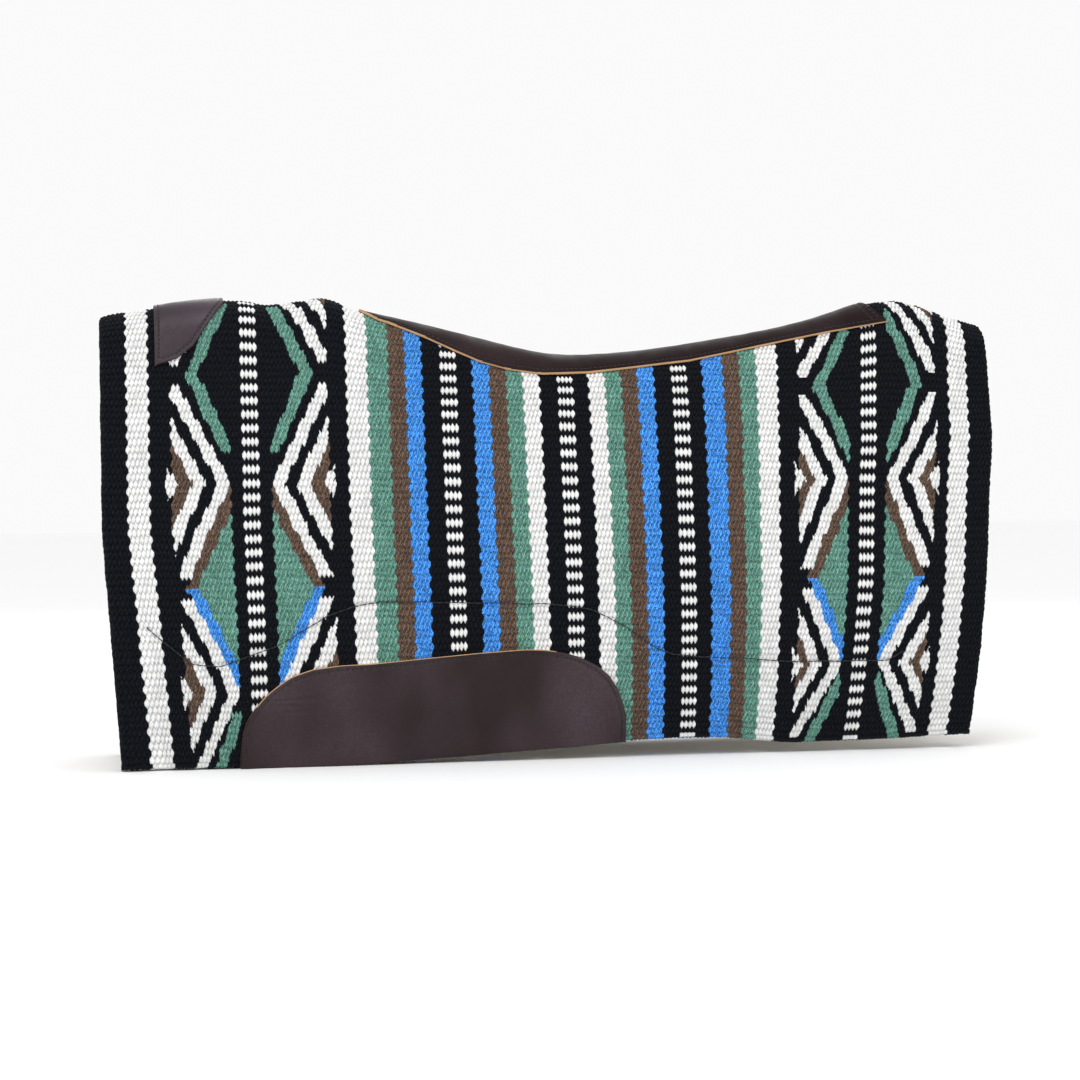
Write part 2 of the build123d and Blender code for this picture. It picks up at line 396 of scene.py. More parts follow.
def quilt_height(x):
    """Length up the cloth of the quilting seam."""
    return up_the_cloth(x, np.interp(x, QUILT_X, QUILT_Z))


def seam_dip(x, s):
    """How deep the quilting seam pulls the cloth in."""
    on = (x > QUILT_X[0]) & (x < QUILT_X[-1])
    return np.where(on, QUILT_DIP * np.exp(-(((s - quilt_height(x)) / QUILT_REACH) ** 2)), 0)


QUARTERS = 4
WALL_STEPS, ROLL_STEPS = 16, 6
FEWER = 4
FIRST_RIB = EDGE_ROLL / RIB
CLOTH_DEPTH = EDGE_ROLL - 0.2
INNER_REACH = 0.1
RELIEF, FLOAT_BOW, FLOAT_WANDER = 1.9, 0.55, 0.2
LINE_WAVE, LINE_WANDER, SIDE_WANDER = 0.26, 0.10, 0.35
FIRMNESS = np.random.default_rng(77).uniform(0.72, 1.0, 4096)
AT_RIDGE = 0.05


def along_edge():
    """A turned edge, step by step: length round it, reach beyond the pad, depth, and share of its wall."""
    turn = np.linspace(0, math.pi / 2, ROLL_STEPS + 1)[1:]
    wall = np.linspace(0, 1, WALL_STEPS + 1)[1:]
    length = np.concatenate([EDGE_ROLL * turn, EDGE_ROLL * math.pi / 2 + wall * (FLANK_DEPTH - EDGE_ROLL)])
    reach = np.concatenate([EDGE_ROLL * np.sin(turn), np.full(WALL_STEPS, EDGE_ROLL)])
    deep = np.concatenate([EDGE_ROLL * (1 - np.cos(turn)), np.full(WALL_STEPS, EDGE_ROLL)])
    share = np.concatenate([np.zeros(ROLL_STEPS), wall])
    return length, reach, deep, share


def cloth_lines():
    """Columns and rows of the cloth: each one's place in the weave, reach, depth and share of the wall."""
    length, *edge = along_edge()
    u = np.arange(FLOAT_COUNT * QUARTERS + 1) / QUARTERS
    r = np.arange(QUARTERS, RIBS * QUARTERS + 1) / QUARTERS
    columns = [np.concatenate([-length[::-1] / PITCH, u, FLOAT_COUNT + length / PITCH])]
    rows = [np.concatenate([FIRST_RIB - length[::-1] / RIB, [FIRST_RIB], r])]
    for part, sign in zip(edge, (-1, 1, 1)):
        columns.append(np.concatenate([sign * part[::-1], np.zeros(len(u)), part]))
        rows.append(np.concatenate([part[::-1], np.zeros(len(r) + 1)]))
    return np.array(columns), np.array(rows)


def crossed(columns, rows):
    """The four values of the columns and of the rows, at every crossing."""
    pairs = [np.meshgrid(column, row, indexing="ij") for column, row in zip(columns, rows)]
    return [pair[0] for pair in pairs], [pair[1] for pair in pairs]


def start_x(u):
    """Place along the pad of float u at the ridge."""
    return -HALF_LENGTH + EDGE_ROLL + np.clip(u, 0, FLOAT_COUNT) * PITCH


def on_pad(u, r, wave):
    """Place along the pad and length up the cloth of float u and rib line r; wave bends the rib line."""
    x0 = start_x(u)
    line = np.clip(r, FIRST_RIB, RIBS)
    fade = np.clip((RIBS - line) / 2, 0, 1) * np.clip(line - FIRST_RIB, 0, 1)
    line = line + wave * fade + LINE_WANDER * ripple(x0, line * RIB, 60, 21) * fade
    s = np.minimum(cloth_height(line, x0), to_ridge(x0))
    x = laid(x0, s) + SIDE_WANDER * ripple(x0 * 3, s, 40, 5) * fade
    return x, up_to_ridge(s, x0, x)


def edge_depth(s, deep_x, wall_x, deep_r, wall_r):
    """Depth below the outer face, in the rolls and walls of the turned edges."""
    room = depth_of_layers(s) - EDGE_ROLL
    return np.maximum(deep_x + wall_x * room, deep_r + wall_r * room)


def axes_at(x, s, side_x):
    """Point of the pad's outer face, and the directions out of it, past its end and down the cloth."""
    point, normal = shell(x, s)
    past_end = np.stack([np.sign(side_x), np.zeros_like(x), np.zeros_like(x)], -1)
    down = np.stack([np.zeros_like(x), normal[..., 2], -normal[..., 1]], -1)
    return point, normal, past_end, down


def float_centre(u, rib):
    """Middle of the float that covers u on that rib: floats of neighbouring ribs are half a pitch apart."""
    return np.where(rib % 2 == 0, np.floor(u) + 0.5, np.round(u))


def outer_face(columns, rows):
    """Points of the woven face, and how near each is to the crown of its float."""
    (u, side_x, deep_x, wall_x), (r, drop, deep_r, wall_r) = crossed(columns, rows)
    x, s = on_pad(u, r, LINE_WAVE * np.cos(2 * math.pi * u) * np.cos(math.pi * r))
    depth = edge_depth(s, deep_x, wall_x, deep_r, wall_r)
    rib = np.floor(r)
    centre = float_centre(u, rib)
    firm = FIRMNESS[(rib.astype(int) * 131 + np.round(centre * 2).astype(int) * 17) % len(FIRMNESS)]
    along, across = 2 * (u - centre), 2 * (r - rib) - 1
    bulge = np.sqrt(np.clip(1 - across**2, 0, 1)) * (1 - FLOAT_BOW * along**2) * firm
    corner = (wall_x > 0) & (deep_r >= EDGE_ROLL) | (wall_r > 0) & (deep_x >= EDGE_ROLL)
    relief = -RELIEF + RELIEF * bulge + FLOAT_WANDER * ripple(x, s, 5, 91, 12)
    offset = np.where(corner, -RELIEF, relief) - seam_dip(x, s)
    offset = np.where(depth > 0, np.minimum(offset, 0), offset)
    turn_x = np.clip(np.abs(side_x) / EDGE_ROLL, 0, 1)
    turn_r = np.clip(drop / EDGE_ROLL, 0, 1)
    facing = np.sqrt(np.clip(1 - np.maximum(turn_x, turn_r) ** 2, 0, 1))
    point, normal, past_end, down = axes_at(x, s, side_x)
    point = point + normal * (offset * facing - depth)[..., None]
    point = point + past_end * (np.abs(side_x) + offset * turn_x * (turn_r < 1))[..., None]
    return point + down * (drop + offset * turn_r * (turn_x < 1))[..., None], bulge


def inner_face(columns, rows):
    """Points of the cloth's smooth inner side."""
    (u, side_x, deep_x, wall_x), (r, drop, deep_r, wall_r) = crossed(columns, rows)
    x, s = on_pad(u, r, 0.0)
    depth = np.maximum(edge_depth(s, deep_x, wall_x, deep_r, wall_r), EDGE_ROLL)
    depth = np.where((wall_x > 0) | (wall_r > 0), depth, CLOTH_DEPTH)
    point, normal, past_end, down = axes_at(x, s, side_x)
    point = point - normal * depth[..., None]
    return point + (past_end * np.abs(side_x)[..., None] + down * drop[..., None]) * INNER_REACH


def cloth_faces(columns, rows, base):
    """Faces between the crossings, numbered from base, the middle of each in the weave, and the rims."""
    u, r = np.meshgrid(columns[0], rows[0], indexing="ij")
    n, m = u.shape
    x0 = start_x(u)
    beyond = cloth_height(np.clip(r, FIRST_RIB, RIBS), x0) >= to_ridge(x0) - AT_RIDGE
    beyond[:, -1] = True
    last = beyond.argmax(axis=1)
    index = base + np.arange(n)[:, None] * m + np.minimum(np.arange(m), last[:, None])
    quads = np.stack([index[:-1, :-1], index[1:, :-1], index[1:, 1:], index[:-1, 1:]], -1)
    middles = np.stack([u[:-1, :-1] + u[1:, 1:], r[:-1, :-1] + r[1:, 1:]], -1) / 2
    turned_u, turned_r = np.abs(columns[1]) >= EDGE_ROLL, rows[1] >= EDGE_ROLL
    use = ~((turned_u[:-1] & turned_u[1:])[:, None] & (turned_r[:-1] & turned_r[1:]))
    quads, middles = quads[use], middles[use]
    left, right = quads[:, 0] != quads[:, 3], quads[:, 1] != quads[:, 2]
    kinds = ((left & right, [0, 1, 2, 3]), (~left & right, [0, 1, 2]), (left & ~right, [0, 1, 3]))
    faces = [quads[kind][:, corners] for kind, corners in kinds]
    middles = np.concatenate([middles[kind] for kind, _ in kinds])
    wall_u, wall_r = int((columns[3, : n // 2] > 0).sum()), int((rows[3] > 0).sum())
    rims = (index[np.arange(n), last], index[0, wall_r:], index[-1, wall_r:], index[wall_u : n - wall_u, 0])
    return faces, middles, rims, (wall_u, wall_r)


def bridged(fine, at, coarse):
    """Faces from a fine rim to a coarse one, whose points stand at those places of the fine one."""
    faces = []
    for k in range(len(coarse) - 1):
        if coarse[k] != coarse[k + 1]:
            span = fine[at[k] : at[k + 1] + 1]
            span = [int(v) for j, v in enumerate(span) if j == 0 or v != span[j - 1]]
            faces.append(span + [int(coarse[k + 1]), int(coarse[k])])
    return faces


def fewer_lines(columns, rows):
    """The columns and rows of the inner side: every fourth one, and always those where an edge starts."""
    edge, n, m = ROLL_STEPS + WALL_STEPS, columns.shape[1], rows.shape[1]
    few = np.arange(0, edge, FEWER)
    some_u = np.concatenate([few, np.arange(edge, n - edge, QUARTERS), [n - edge - 1], n - 1 - few])
    some_r = np.concatenate([few, np.arange(edge, m, QUARTERS), [m - 1]])
    return np.unique(some_u), np.unique(some_r)


def weave_places(columns, rows):
    """Place in the weave of every crossing, as rows of u and r."""
    return np.stack(np.meshgrid(columns[0], rows[0], indexing="ij"), -1).reshape(-1, 2)


def welded(points, places, outer_count):
    """For every point, the one that stands for it: in the turned edges, points that coincide are one."""
    u, r = places.T
    inner = np.arange(len(points)) >= outer_count
    key = np.column_stack([np.round(points, 4), inner])
    turned = np.flatnonzero((u < 0) | (u > FLOAT_COUNT) | (r < FIRST_RIB))
    _, lead, back = np.unique(key[turned], axis=0, return_index=True, return_inverse=True)
    stands_for = np.arange(len(points))
    stands_for[turned] = turned[lead][back.ravel()]
    return stands_for


def woven_half(name, side):
    """Half of the woven top, from the ridge to the turned hem, as one closed cloth."""
    columns, rows = cloth_lines()
    some_u, some_r = fewer_lines(columns, rows)
    few = columns[:, some_u], rows[:, some_r]
    outer, bulge = outer_face(columns, rows)
    points = np.concatenate([outer.reshape(-1, 3), inner_face(*few).reshape(-1, 3)])
    places = np.concatenate([weave_places(columns, rows), weave_places(*few)])
    outer_faces, middles, outer_rims, (wall_u, wall_r) = cloth_faces(columns, rows, 0)
    inner_faces, hidden, inner_rims, (few_u, few_r) = cloth_faces(*few, bulge.size)
    at_u, at_r = some_u[few_u : len(some_u) - few_u] - wall_u, some_r[few_r:] - wall_r
    ridge, front, rear, hem = map(bridged, outer_rims, (some_u, at_r, at_r, at_u), inner_rims)
    rims = ridge + front + [face[::-1] for face in rear + hem]
    faces = [face for group in outer_faces for face in group]
    faces += [face[::-1] for group in inner_faces for face in group] + rims
    middles = np.concatenate([middles, np.full((len(hidden) + len(rims), 2), np.nan)])
    loops = welded(points, places, bulge.size)[np.concatenate(faces)]
    used, loops = np.unique(loops, return_inverse=True)
    faces = np.split(loops.ravel(), np.cumsum([len(face) for face in faces])[:-1])
    sound = np.array([len(set(face.tolist())) == len(face) for face in faces])
    faces = [face[::-1] if side > 0 else face for face, ok in zip(faces, sound) if ok]
    obj = mesh_object(name, placed(points[used], side), faces)
    # The crown value also paints shade into the wool's colour, darker in the grooves between the floats.
    crowns = np.concatenate([bulge.ravel(), np.zeros(len(points) - bulge.size)])[used]
    obj.data.attributes.new("crown", "FLOAT", "POINT").data.foreach_set("value", crowns.astype(np.float32))
    return obj, middles[sound], places[used]


# ---- colours and materials
def linear(r, g, b):
    """An sRGB colour, 0 to 255, as linear values."""
    c = np.array([r, g, b], float) / 255
    return np.where(c <= 0.04045, c / 12.92, ((c + 0.055) / 1.055) ** 2.4)


# One row or number per yarn: black, white, green, brown, blue.
YARNS = np.array([
    linear(12, 14, 21),
    linear(250, 250, 249),
    linear(105, 154, 139),
    linear(101, 82, 70),
    linear(74, 149, 234),
])
FLECKS = np.array([2.2, 0.2, 1.35, 1.6, 1.9])
UNEVEN_DYE = np.array([0.5, 0.25, 1.0, 1.0, 0.9])
TWIST, PLY = math.radians(24), 1.9


class Look:
    """A material and short ways to add nodes to it."""

    def __init__(self, name, roughness, sheen=0.0, specular=0.5):
        self.material = bpy.data.materials.new(name)
        self.material.use_nodes = True
        self.nodes = self.material.node_tree.nodes
        self.links = self.material.node_tree.links
        self.bsdf = next(n for n in self.nodes if n.type == "BSDF_PRINCIPLED")
        self.bsdf.inputs["Roughness"].default_value = roughness
        self.bsdf.inputs["Sheen Weight"].default_value = sheen
        self.bsdf.inputs["Sheen Roughness"].default_value = 0.5
        self.bsdf.inputs["Specular IOR Level"].default_value = specular

    def node(self, kind, **values):
        made = self.nodes.new(kind)
        for key, value in values.items():
            if key in made.inputs:
                made.inputs[key].default_value = value
            else:
                setattr(made, key, value)
        return made

    def wire(self, a, b):
        self.links.new(a, b)

    def place(self):
        return self.node("ShaderNodeTexCoord").outputs["Object"]

    def feed(self, socket, value):
        """A number, a colour or another node's output goes into a socket."""
        if isinstance(value, np.ndarray):
            socket.default_value = (*value.tolist(), 1.0)
        elif isinstance(value, (int, float)):
            socket.default_value = value
        else:
            self.wire(value, socket)

    def math(self, operation, a, b):
        made = self.nodes.new("ShaderNodeMath")
        made.operation = operation
        self.feed(made.inputs[0], a)
        self.feed(made.inputs[1], b)
        return made.outputs[0]

    def noise(self, vector, scale, detail=3.0, roughness=0.6):
        made = self.node("ShaderNodeTexNoise", Scale=scale, Detail=detail, Roughness=roughness)
        self.wire(vector, made.inputs["Vector"])
        return made.outputs["Fac"]

    def ranged(self, value, low, high, to_low, to_high):
        made = self.nodes.new("ShaderNodeMapRange")
        self.wire(value, made.inputs["Value"])
        for key, number in (("From Min", low), ("From Max", high), ("To Min", to_low), ("To Max", to_high)):
            made.inputs[key].default_value = number
        return made.outputs["Result"]

    def mixed(self, factor, a, b, blend="MIX"):
        made = self.nodes.new("ShaderNodeMix")
        made.data_type, made.blend_type = "RGBA", blend
        for number, value in ((0, factor), (6, a), (7, b)):
            self.feed(made.inputs[number], value)
        return made.outputs[2]

    def bump(self, height, distance, strength=1.0, under=None):
        made = self.node("ShaderNodeBump", Strength=strength, Distance=distance)
        self.wire(height, made.inputs["Height"])
        if under is not None:
            self.wire(under, made.inputs["Normal"])
        return made.outputs["Normal"]

    def finish(self, colour=None, normal=None, roughness=None):
        for value, name in ((colour, "Base Color"), (normal, "Normal"), (roughness, "Roughness")):
            if value is not None:
                self.feed(self.bsdf.inputs[name], value)
        return self.material


def wool_look():
    look = Look("wool_yarn", 0.95, sheen=0.04, specular=0.08)
    place = look.place()
    dyed = look.node("ShaderNodeAttribute", attribute_name="yarn")
    yarn, heather = dyed.outputs["Color"], dyed.outputs["Alpha"]
    lay = look.node("ShaderNodeMapping", Scale=(PITCH, RIB, 1.0), Rotation=(0.0, 0.0, TWIST))
    look.wire(look.node("ShaderNodeUVMap", uv_map="weave").outputs["UV"], lay.inputs["Vector"])
    strands = look.node("ShaderNodeMapping", Scale=(1.7, 0.42, 1.0))
    look.wire(lay.outputs["Vector"], strands.inputs["Vector"])
    streak = look.noise(strands.outputs["Vector"], 1.0, 3, 0.7)
    patch = look.noise(place, 60, 2, 0.5)
    light = look.ranged(streak, 0.32, 0.68, -0.62, 0.70)
    across = look.nodes.new("ShaderNodeSeparateXYZ")
    look.wire(lay.outputs["Vector"], across.inputs[0])
    wander = look.ranged(look.noise(place, 500, 2, 0.6), 0.0, 1.0, -0.5, 0.5)
    turn = look.math("MULTIPLY", look.math("ADD", across.outputs[0], wander), 2 * math.pi / PLY)
    ply = look.math("SINE", turn, 0.0)
    light = look.math("ADD", light, look.math("MULTIPLY", ply, 0.20))
    light = look.math("ADD", look.math("MULTIPLY", light, heather), 1.0)
    light = look.math("MULTIPLY", light, look.ranged(patch, 0.3, 0.7, 0.93, 1.06))
    # Painted shade: the colour darkens towards the grooves between the floats, by how far each point lies
    # below its float's crown.
    crown_for_groove_shade = look.node("ShaderNodeAttribute", attribute_name="crown").outputs["Fac"]
    light = look.math("MULTIPLY", light, look.ranged(crown_for_groove_shade, 0.0, 0.85, 0.72, 1.06))
    grey = look.nodes.new("ShaderNodeCombineColor")
    for socket in grey.inputs:
        look.wire(light, socket)
    colour = look.mixed(1.0, yarn, grey.outputs[0], "MULTIPLY")
    fuzz = look.ranged(look.noise(strands.outputs["Vector"], 2.3, 2, 0.8), 0.60, 0.78, 0.0, 0.11)
    colour = look.mixed(fuzz, colour, linear(170, 182, 205))
    normal = look.bump(ply, 0.0004)
    normal = look.bump(look.noise(place, 1700, 4, 0.75), 0.00035, 0.8, normal)
    return look.finish(colour, normal)


def leather_look(name, base, light, shine, specular=0.2):
    look = Look(name, 0.4, specular=specular)
    place = look.place()
    stretch = look.node("ShaderNodeMapping", Scale=(1.0, 0.6, 0.6), Rotation=(0.0, 0.5, 0.0))
    look.wire(place, stretch.inputs["Vector"])
    # Lighter cloud patches towards the second colour: partly the leather's own uneven tone, partly painted
    # sheen.
    tone_and_sheen_cloud = look.noise(stretch.outputs["Vector"], 10, 2, 0.5)
    tone = look.ranged(tone_and_sheen_cloud, 0.40, 0.70, 0.0, 0.8)
    colour = look.mixed(tone, base, light)
    speck = look.ranged(look.noise(place, 420, 3, 0.6), 0.3, 0.7, 0.0, 0.35)
    colour = look.mixed(speck, colour, base * 0.5)
    cells = look.node("ShaderNodeTexVoronoi", Scale=850.0, feature="DISTANCE_TO_EDGE")
    look.wire(place, cells.inputs["Vector"])
    grain = look.ranged(cells.outputs["Distance"], 0.0, 0.12, 0.0, 1.0)
    normal = look.bump(grain, 0.00006, 0.5)
    normal = look.bump(look.noise(place, 120, 4, 0.6), 0.0006, 0.4, normal)
    normal = look.bump(look.noise(stretch.outputs["Vector"], 13, 2, 0.5), 0.014, 1.0, normal)
    rough = look.ranged(look.noise(place, 35, 3, 0.6), 0.3, 0.7, shine - 0.06, shine + 0.10)
    return look.finish(colour, normal, rough)


def edge_look(name, base):
    look = Look(name, 0.85, specular=0.2)
    place = look.place()
    fibre = look.noise(place, 1500, 3, 0.7)
    colour = look.mixed(look.ranged(fibre, 0.3, 0.7, 0.0, 0.6), base, base * 0.45)
    return look.finish(colour, look.bump(fibre, 0.0002, 0.7))


def thread_look(name, base):
    look = Look(name, 0.6, sheen=0.2, specular=0.35)
    place = look.place()
    fibre = look.noise(place, 2500, 2, 0.6)
    colour = look.mixed(look.ranged(fibre, 0.3, 0.7, 0.0, 0.6), base, base * 2.2)
    return look.finish(colour, look.bump(fibre, 0.00015, 0.6))


def fleece_look():
    look = Look("fleece_pile", 0.97, sheen=0.5, specular=0.1)
    place = look.place()
    curl = look.noise(place, 330, 5, 0.75)
    tuft = look.noise(place, 90, 3, 0.6)
    colour = look.mixed(look.ranged(curl, 0.3, 0.7, 0.0, 1.0), linear(196, 184, 160), linear(240, 233, 217))
    colour = look.mixed(look.ranged(tuft, 0.3, 0.65, 0.35, 0.0), colour, linear(176, 160, 132))
    normal = look.bump(tuft, 0.003, 0.5)
    normal = look.bump(curl, 0.0016, 0.9, normal)
    return look.finish(colour, normal)


def felt_look():
    look = Look("felt_panel", 0.97, sheen=0.2, specular=0.1)
    place = look.place()
    mat = look.noise(place, 1300, 4, 0.7)
    colour = look.mixed(look.ranged(mat, 0.3, 0.7, 0.0, 1.0), linear(96, 94, 92), linear(140, 137, 132))
    return look.finish(colour, look.bump(mat, 0.0003, 0.7))


WOOL = wool_look()
# Each leather's second colour is that of its lighter patches: partly its own tone, partly painted sheen.
LEATHER = leather_look("leather_brown", linear(37, 23, 26), linear(76, 63, 69), 0.34)
SPINE_LEATHER = leather_look("leather_spine_brown", linear(33, 20, 22), linear(54, 41, 44), 0.46, 0.07)
# The wither leather is a lighter copy of the same leather: painted sheen.
WITHER_LEATHER_PAINTED_SHEEN = leather_look("leather_wither_painted_sheen", linear(40, 28, 31), linear(80, 70, 80), 0.34)
TAN_EDGE = edge_look("leather_raw_edge", linear(204, 162, 120))
DARK_EDGE = edge_look("leather_dark_edge", linear(80, 65, 69))
LEATHER_THREAD = thread_look("thread_on_leather", linear(14, 8, 9))
BLACK_THREAD = thread_look("thread_black", linear(12, 12, 14))
FLEECE = fleece_look()
FELT = felt_look()

SIDES = (("near", -1, "near_flank"), ("far", 1, "far_flank"))


def dressed(obj, slot, *materials):
    for material in materials:
        obj.data.materials.append(material)
    return obj


def bend_with(obj):
    """The piece's placement is baked into its mesh."""
    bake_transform(obj)


# ---- woven top
DARKEST, LIGHTEST, HUE_SHIFT = 0.86, 1.12, 0.05
UV_LOW, UV_HIGH = np.array([-8.0, -4.5]), np.array([FLOAT_COUNT + 8.0, RIBS + 0.5])


def yarn_colours(obj, tag):
    """Each float gets its yarn's colour, a little lighter or darker than its neighbours."""
    u, r = tag[:, 0], tag[:, 1]
    seen = ~np.isnan(u)
    u, r = np.where(seen, u, 0), np.where(seen, r, 0)
    rib = np.floor(r).astype(int)
    c = float_centre(u, rib)
    kind = draft(u, np.clip(c, 0, FLOAT_COUNT - 0.1), rib, r)
    bank = np.random.default_rng(5).uniform(0, 1, (8192, 3))
    dip = bank[(rib * 977 + np.round(c * 2).astype(int) * 31) % len(bank)]
    tone = DARKEST + (LIGHTEST - DARKEST) * dip[:, :1]
    uneven = UNEVEN_DYE[kind][:, None]
    colour = YARNS[kind] * (1 + (tone - 1) * uneven) * (1 + HUE_SHIFT * uneven * (dip - 0.5))
    colour = np.where(seen[:, None], colour, YARNS[BLACK] * 2)
    attribute = obj.data.attributes.new("yarn", "FLOAT_COLOR", "FACE")
    dyed = np.concatenate([colour, FLECKS[kind][:, None]], 1)
    attribute.data.foreach_set("color", dyed.astype(np.float32).ravel())


for label, side, flank in SIDES:
    obj, tag, places = woven_half(f"woven_{label}", side)
    yarn_colours(obj, tag)
    loop_verts = np.zeros(len(obj.data.loops), np.int32)
    obj.data.loops.foreach_get("vertex_index", loop_verts)
    baked = obj.data.uv_layers.new(name="OFBake")
    weave = obj.data.uv_layers.new(name="weave")
    place = places[loop_verts]
    weave.data.foreach_set("uv", place.astype(np.float32).ravel())
    place = (place - UV_LOW) / (UV_HIGH - UV_LOW)
    baked.data.foreach_set("uv", place.astype(np.float32).ravel())
    dressed(obj, "woven_wool", WOOL)
    bend_with(obj)
    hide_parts(f"woven_top_{label}", "woven_top_spine")


# ---- leathers
SPINE_X = [-184, -176, -158, -124, -94, -76, -48, -15, 29, 77, 127, 196, 266, 326]
SPINE_Z = [415, 412, 406, 392, 378, 370, 362, 357.5, 359, 364, 370, 384, 398, 408.5]
WITHER_X = [-375, -372, -363, -354, -340, -330, -318, -311]
WITHER_Z = [366, 368, 370.5, 374, 385, 400, 417, 425]
WEAR_EDGE = [
    (-304, 0), (-304, 12), (-302, 30), (-298, 44), (-291, 54), (-282, 65), (-271, 74), (-257, 83),
    (-239, 89), (-214, 92), (-184, 92.5), (-134, 96), (-89, 99), (-43, 101), (-25, 100), (-7, 97),
    (10, 91), (24, 83), (36, 72), (44, 57), (49, 42), (52, 27), (52, 12), (52, 0),
]
NOTCH, NOTCH_CURVE = 19.0, 1.8
STITCH_IN = 4.0


def to_line(points, line):
    """Distance of each (n, 2) point from a line of (m, 2) points."""
    best = np.full(len(points), 1e9)
    for a, b in zip(line[:-1], line[1:]):
        d = b - a
        t = np.clip(((points - a) @ d) / max(d @ d, 1e-9), 0, 1)
        best = np.minimum(best, np.linalg.norm(points - a - t[:, None] * d, axis=1))
    return best


def eased(line, count, rounds=0):
    """The line with evenly spaced points, its corners softened by a number of rounds."""
    line = np.asarray(line, float)
    for turn in range(rounds + 1):
        run = np.concatenate([[0], np.cumsum(np.linalg.norm(np.diff(line, axis=0), axis=1))])
        at = np.linspace(0, run[-1], count)
        line = np.stack([np.interp(at, run, line[:, 0]), np.interp(at, run, line[:, 1])], -1)
        if turn < rounds:
            line[1:-1] = (line[:-2] + 2 * line[1:-1] + line[2:]) / 4
    return line


def inside(line, distance):
    """The line moved sideways, to the right of its direction, by a distance."""
    along = np.gradient(line, axis=0)
    along /= np.linalg.norm(along, axis=1, keepdims=True)
    return line + distance * np.stack([along[:, 1], -along[:, 0]], -1)


CUT_EDGE = 0.7
LEATHER_FACE, LEATHER_BEVEL, LEATHER_BACK, FACE_STITCH = 2.75, 1.7, 0.05, 2.62


def leather_top(gap, creases):
    """Height of a leather's face over the cloth, by distance from its cut and bevelled edge."""
    face = LEATHER_FACE - LEATHER_BEVEL * np.clip(1 - gap / CUT_EDGE, 0, 1)
    stitch_channel = 0.55 * np.exp(-(((gap - STITCH_IN) / 1.1) ** 2))
    edge_line = 0.25 * np.exp(-(((gap - 1.7) / 0.4) ** 2))
    return face - stitch_channel - edge_line + creases * np.clip(gap / 8, 0, 1)


def over_spine(name, x_start, half_widths, x_end, notch):
    """A leather across the spine, from x_start to x_end, with half_widths down each side."""
    columns, rows = 230, 44
    a = 0.5 - 0.5 * np.cos(np.linspace(0, math.pi, columns))
    b = np.sin(np.linspace(-math.pi / 2, math.pi / 2, 2 * rows + 1))
    a, b = np.meshgrid(a, b, indexing="ij")
    x = x_start + a * (x_end + notch * np.abs(b) ** NOTCH_CURVE - x_start)
    across = b * half_widths(x)
    rim_x = np.linspace(x_start, x_end + notch, 300)
    upper = np.stack([rim_x, half_widths(rim_x)], -1)
    slant = np.linspace(1, -1, 81)
    end_x = x_end + notch * np.abs(slant) ** NOTCH_CURVE
    end = np.stack([end_x, half_widths(end_x) * slant], -1)
    lower = upper[::-1] * [1, -1]
    start = np.stack([np.full(9, x_start), half_widths(x_start) * np.linspace(-1, 1, 9)], -1)
    outline = np.concatenate([upper, end, lower, start])
    gap = to_line(np.stack([x.ravel(), across.ravel()], -1), outline[::2]).reshape(x.shape)
    s = to_ridge(x) - np.abs(across)
    grain = 0.15 * ripple(x, across, 22, 31)
    signs = np.where(b < 0, 1.0, -1.0)[..., None] * np.array([0, 1, 0]) + np.array([1, 0, 1])
    top = shell(x, s, leather_top(gap, grain))[0] * signs
    bottom = shell(x, s, LEATHER_BACK)[0] * signs
    return grid_solid(name, top, bottom, -1, rim=gap < CUT_EDGE), upper, end


def spine_width(x):
    edge = up_the_cloth(x, np.interp(x, SPINE_X, SPINE_Z))
    tip = np.sqrt(np.clip((x - SPINE_X[0]) / 16, 0.002, 1))
    return (to_ridge(x) - edge) * tip


def wither_width(x):
    edge = up_the_cloth(x, np.interp(x, WITHER_X, WITHER_Z))
    return np.maximum(to_ridge(x) - edge, 0.6)


spine_leather, spine_side, spine_end = over_spine(
    "leather_spine", SPINE_X[0], spine_width, SPINE_X[-1] - NOTCH, NOTCH
)
dressed(spine_leather, "leather", SPINE_LEATHER, TAN_EDGE)
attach(spine_leather, "spine")
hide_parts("spine_leather")

wither_leather, wither_side, _ = over_spine("leather_wither", WITHER_X[0], wither_width, WITHER_X[-1], 0.0)
dressed(wither_leather, "leather", WITHER_LEATHER_PAINTED_SHEEN, DARK_EDGE)
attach(wither_leather, "spine")
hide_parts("wither_leather")


def on_cloth(line):
    """(x, distance from the ridge) as (x, length up the cloth)."""
    return np.stack([line[:, 0], to_ridge(line[:, 0]) - line[:, 1]], -1)


def leather_stitches(name, line, side, **size):
    """A row of stitches in the face of a leather."""
    return dressed(stitches(name, line, FACE_STITCH, side, **size), "leather_thread", LEATHER_THREAD)


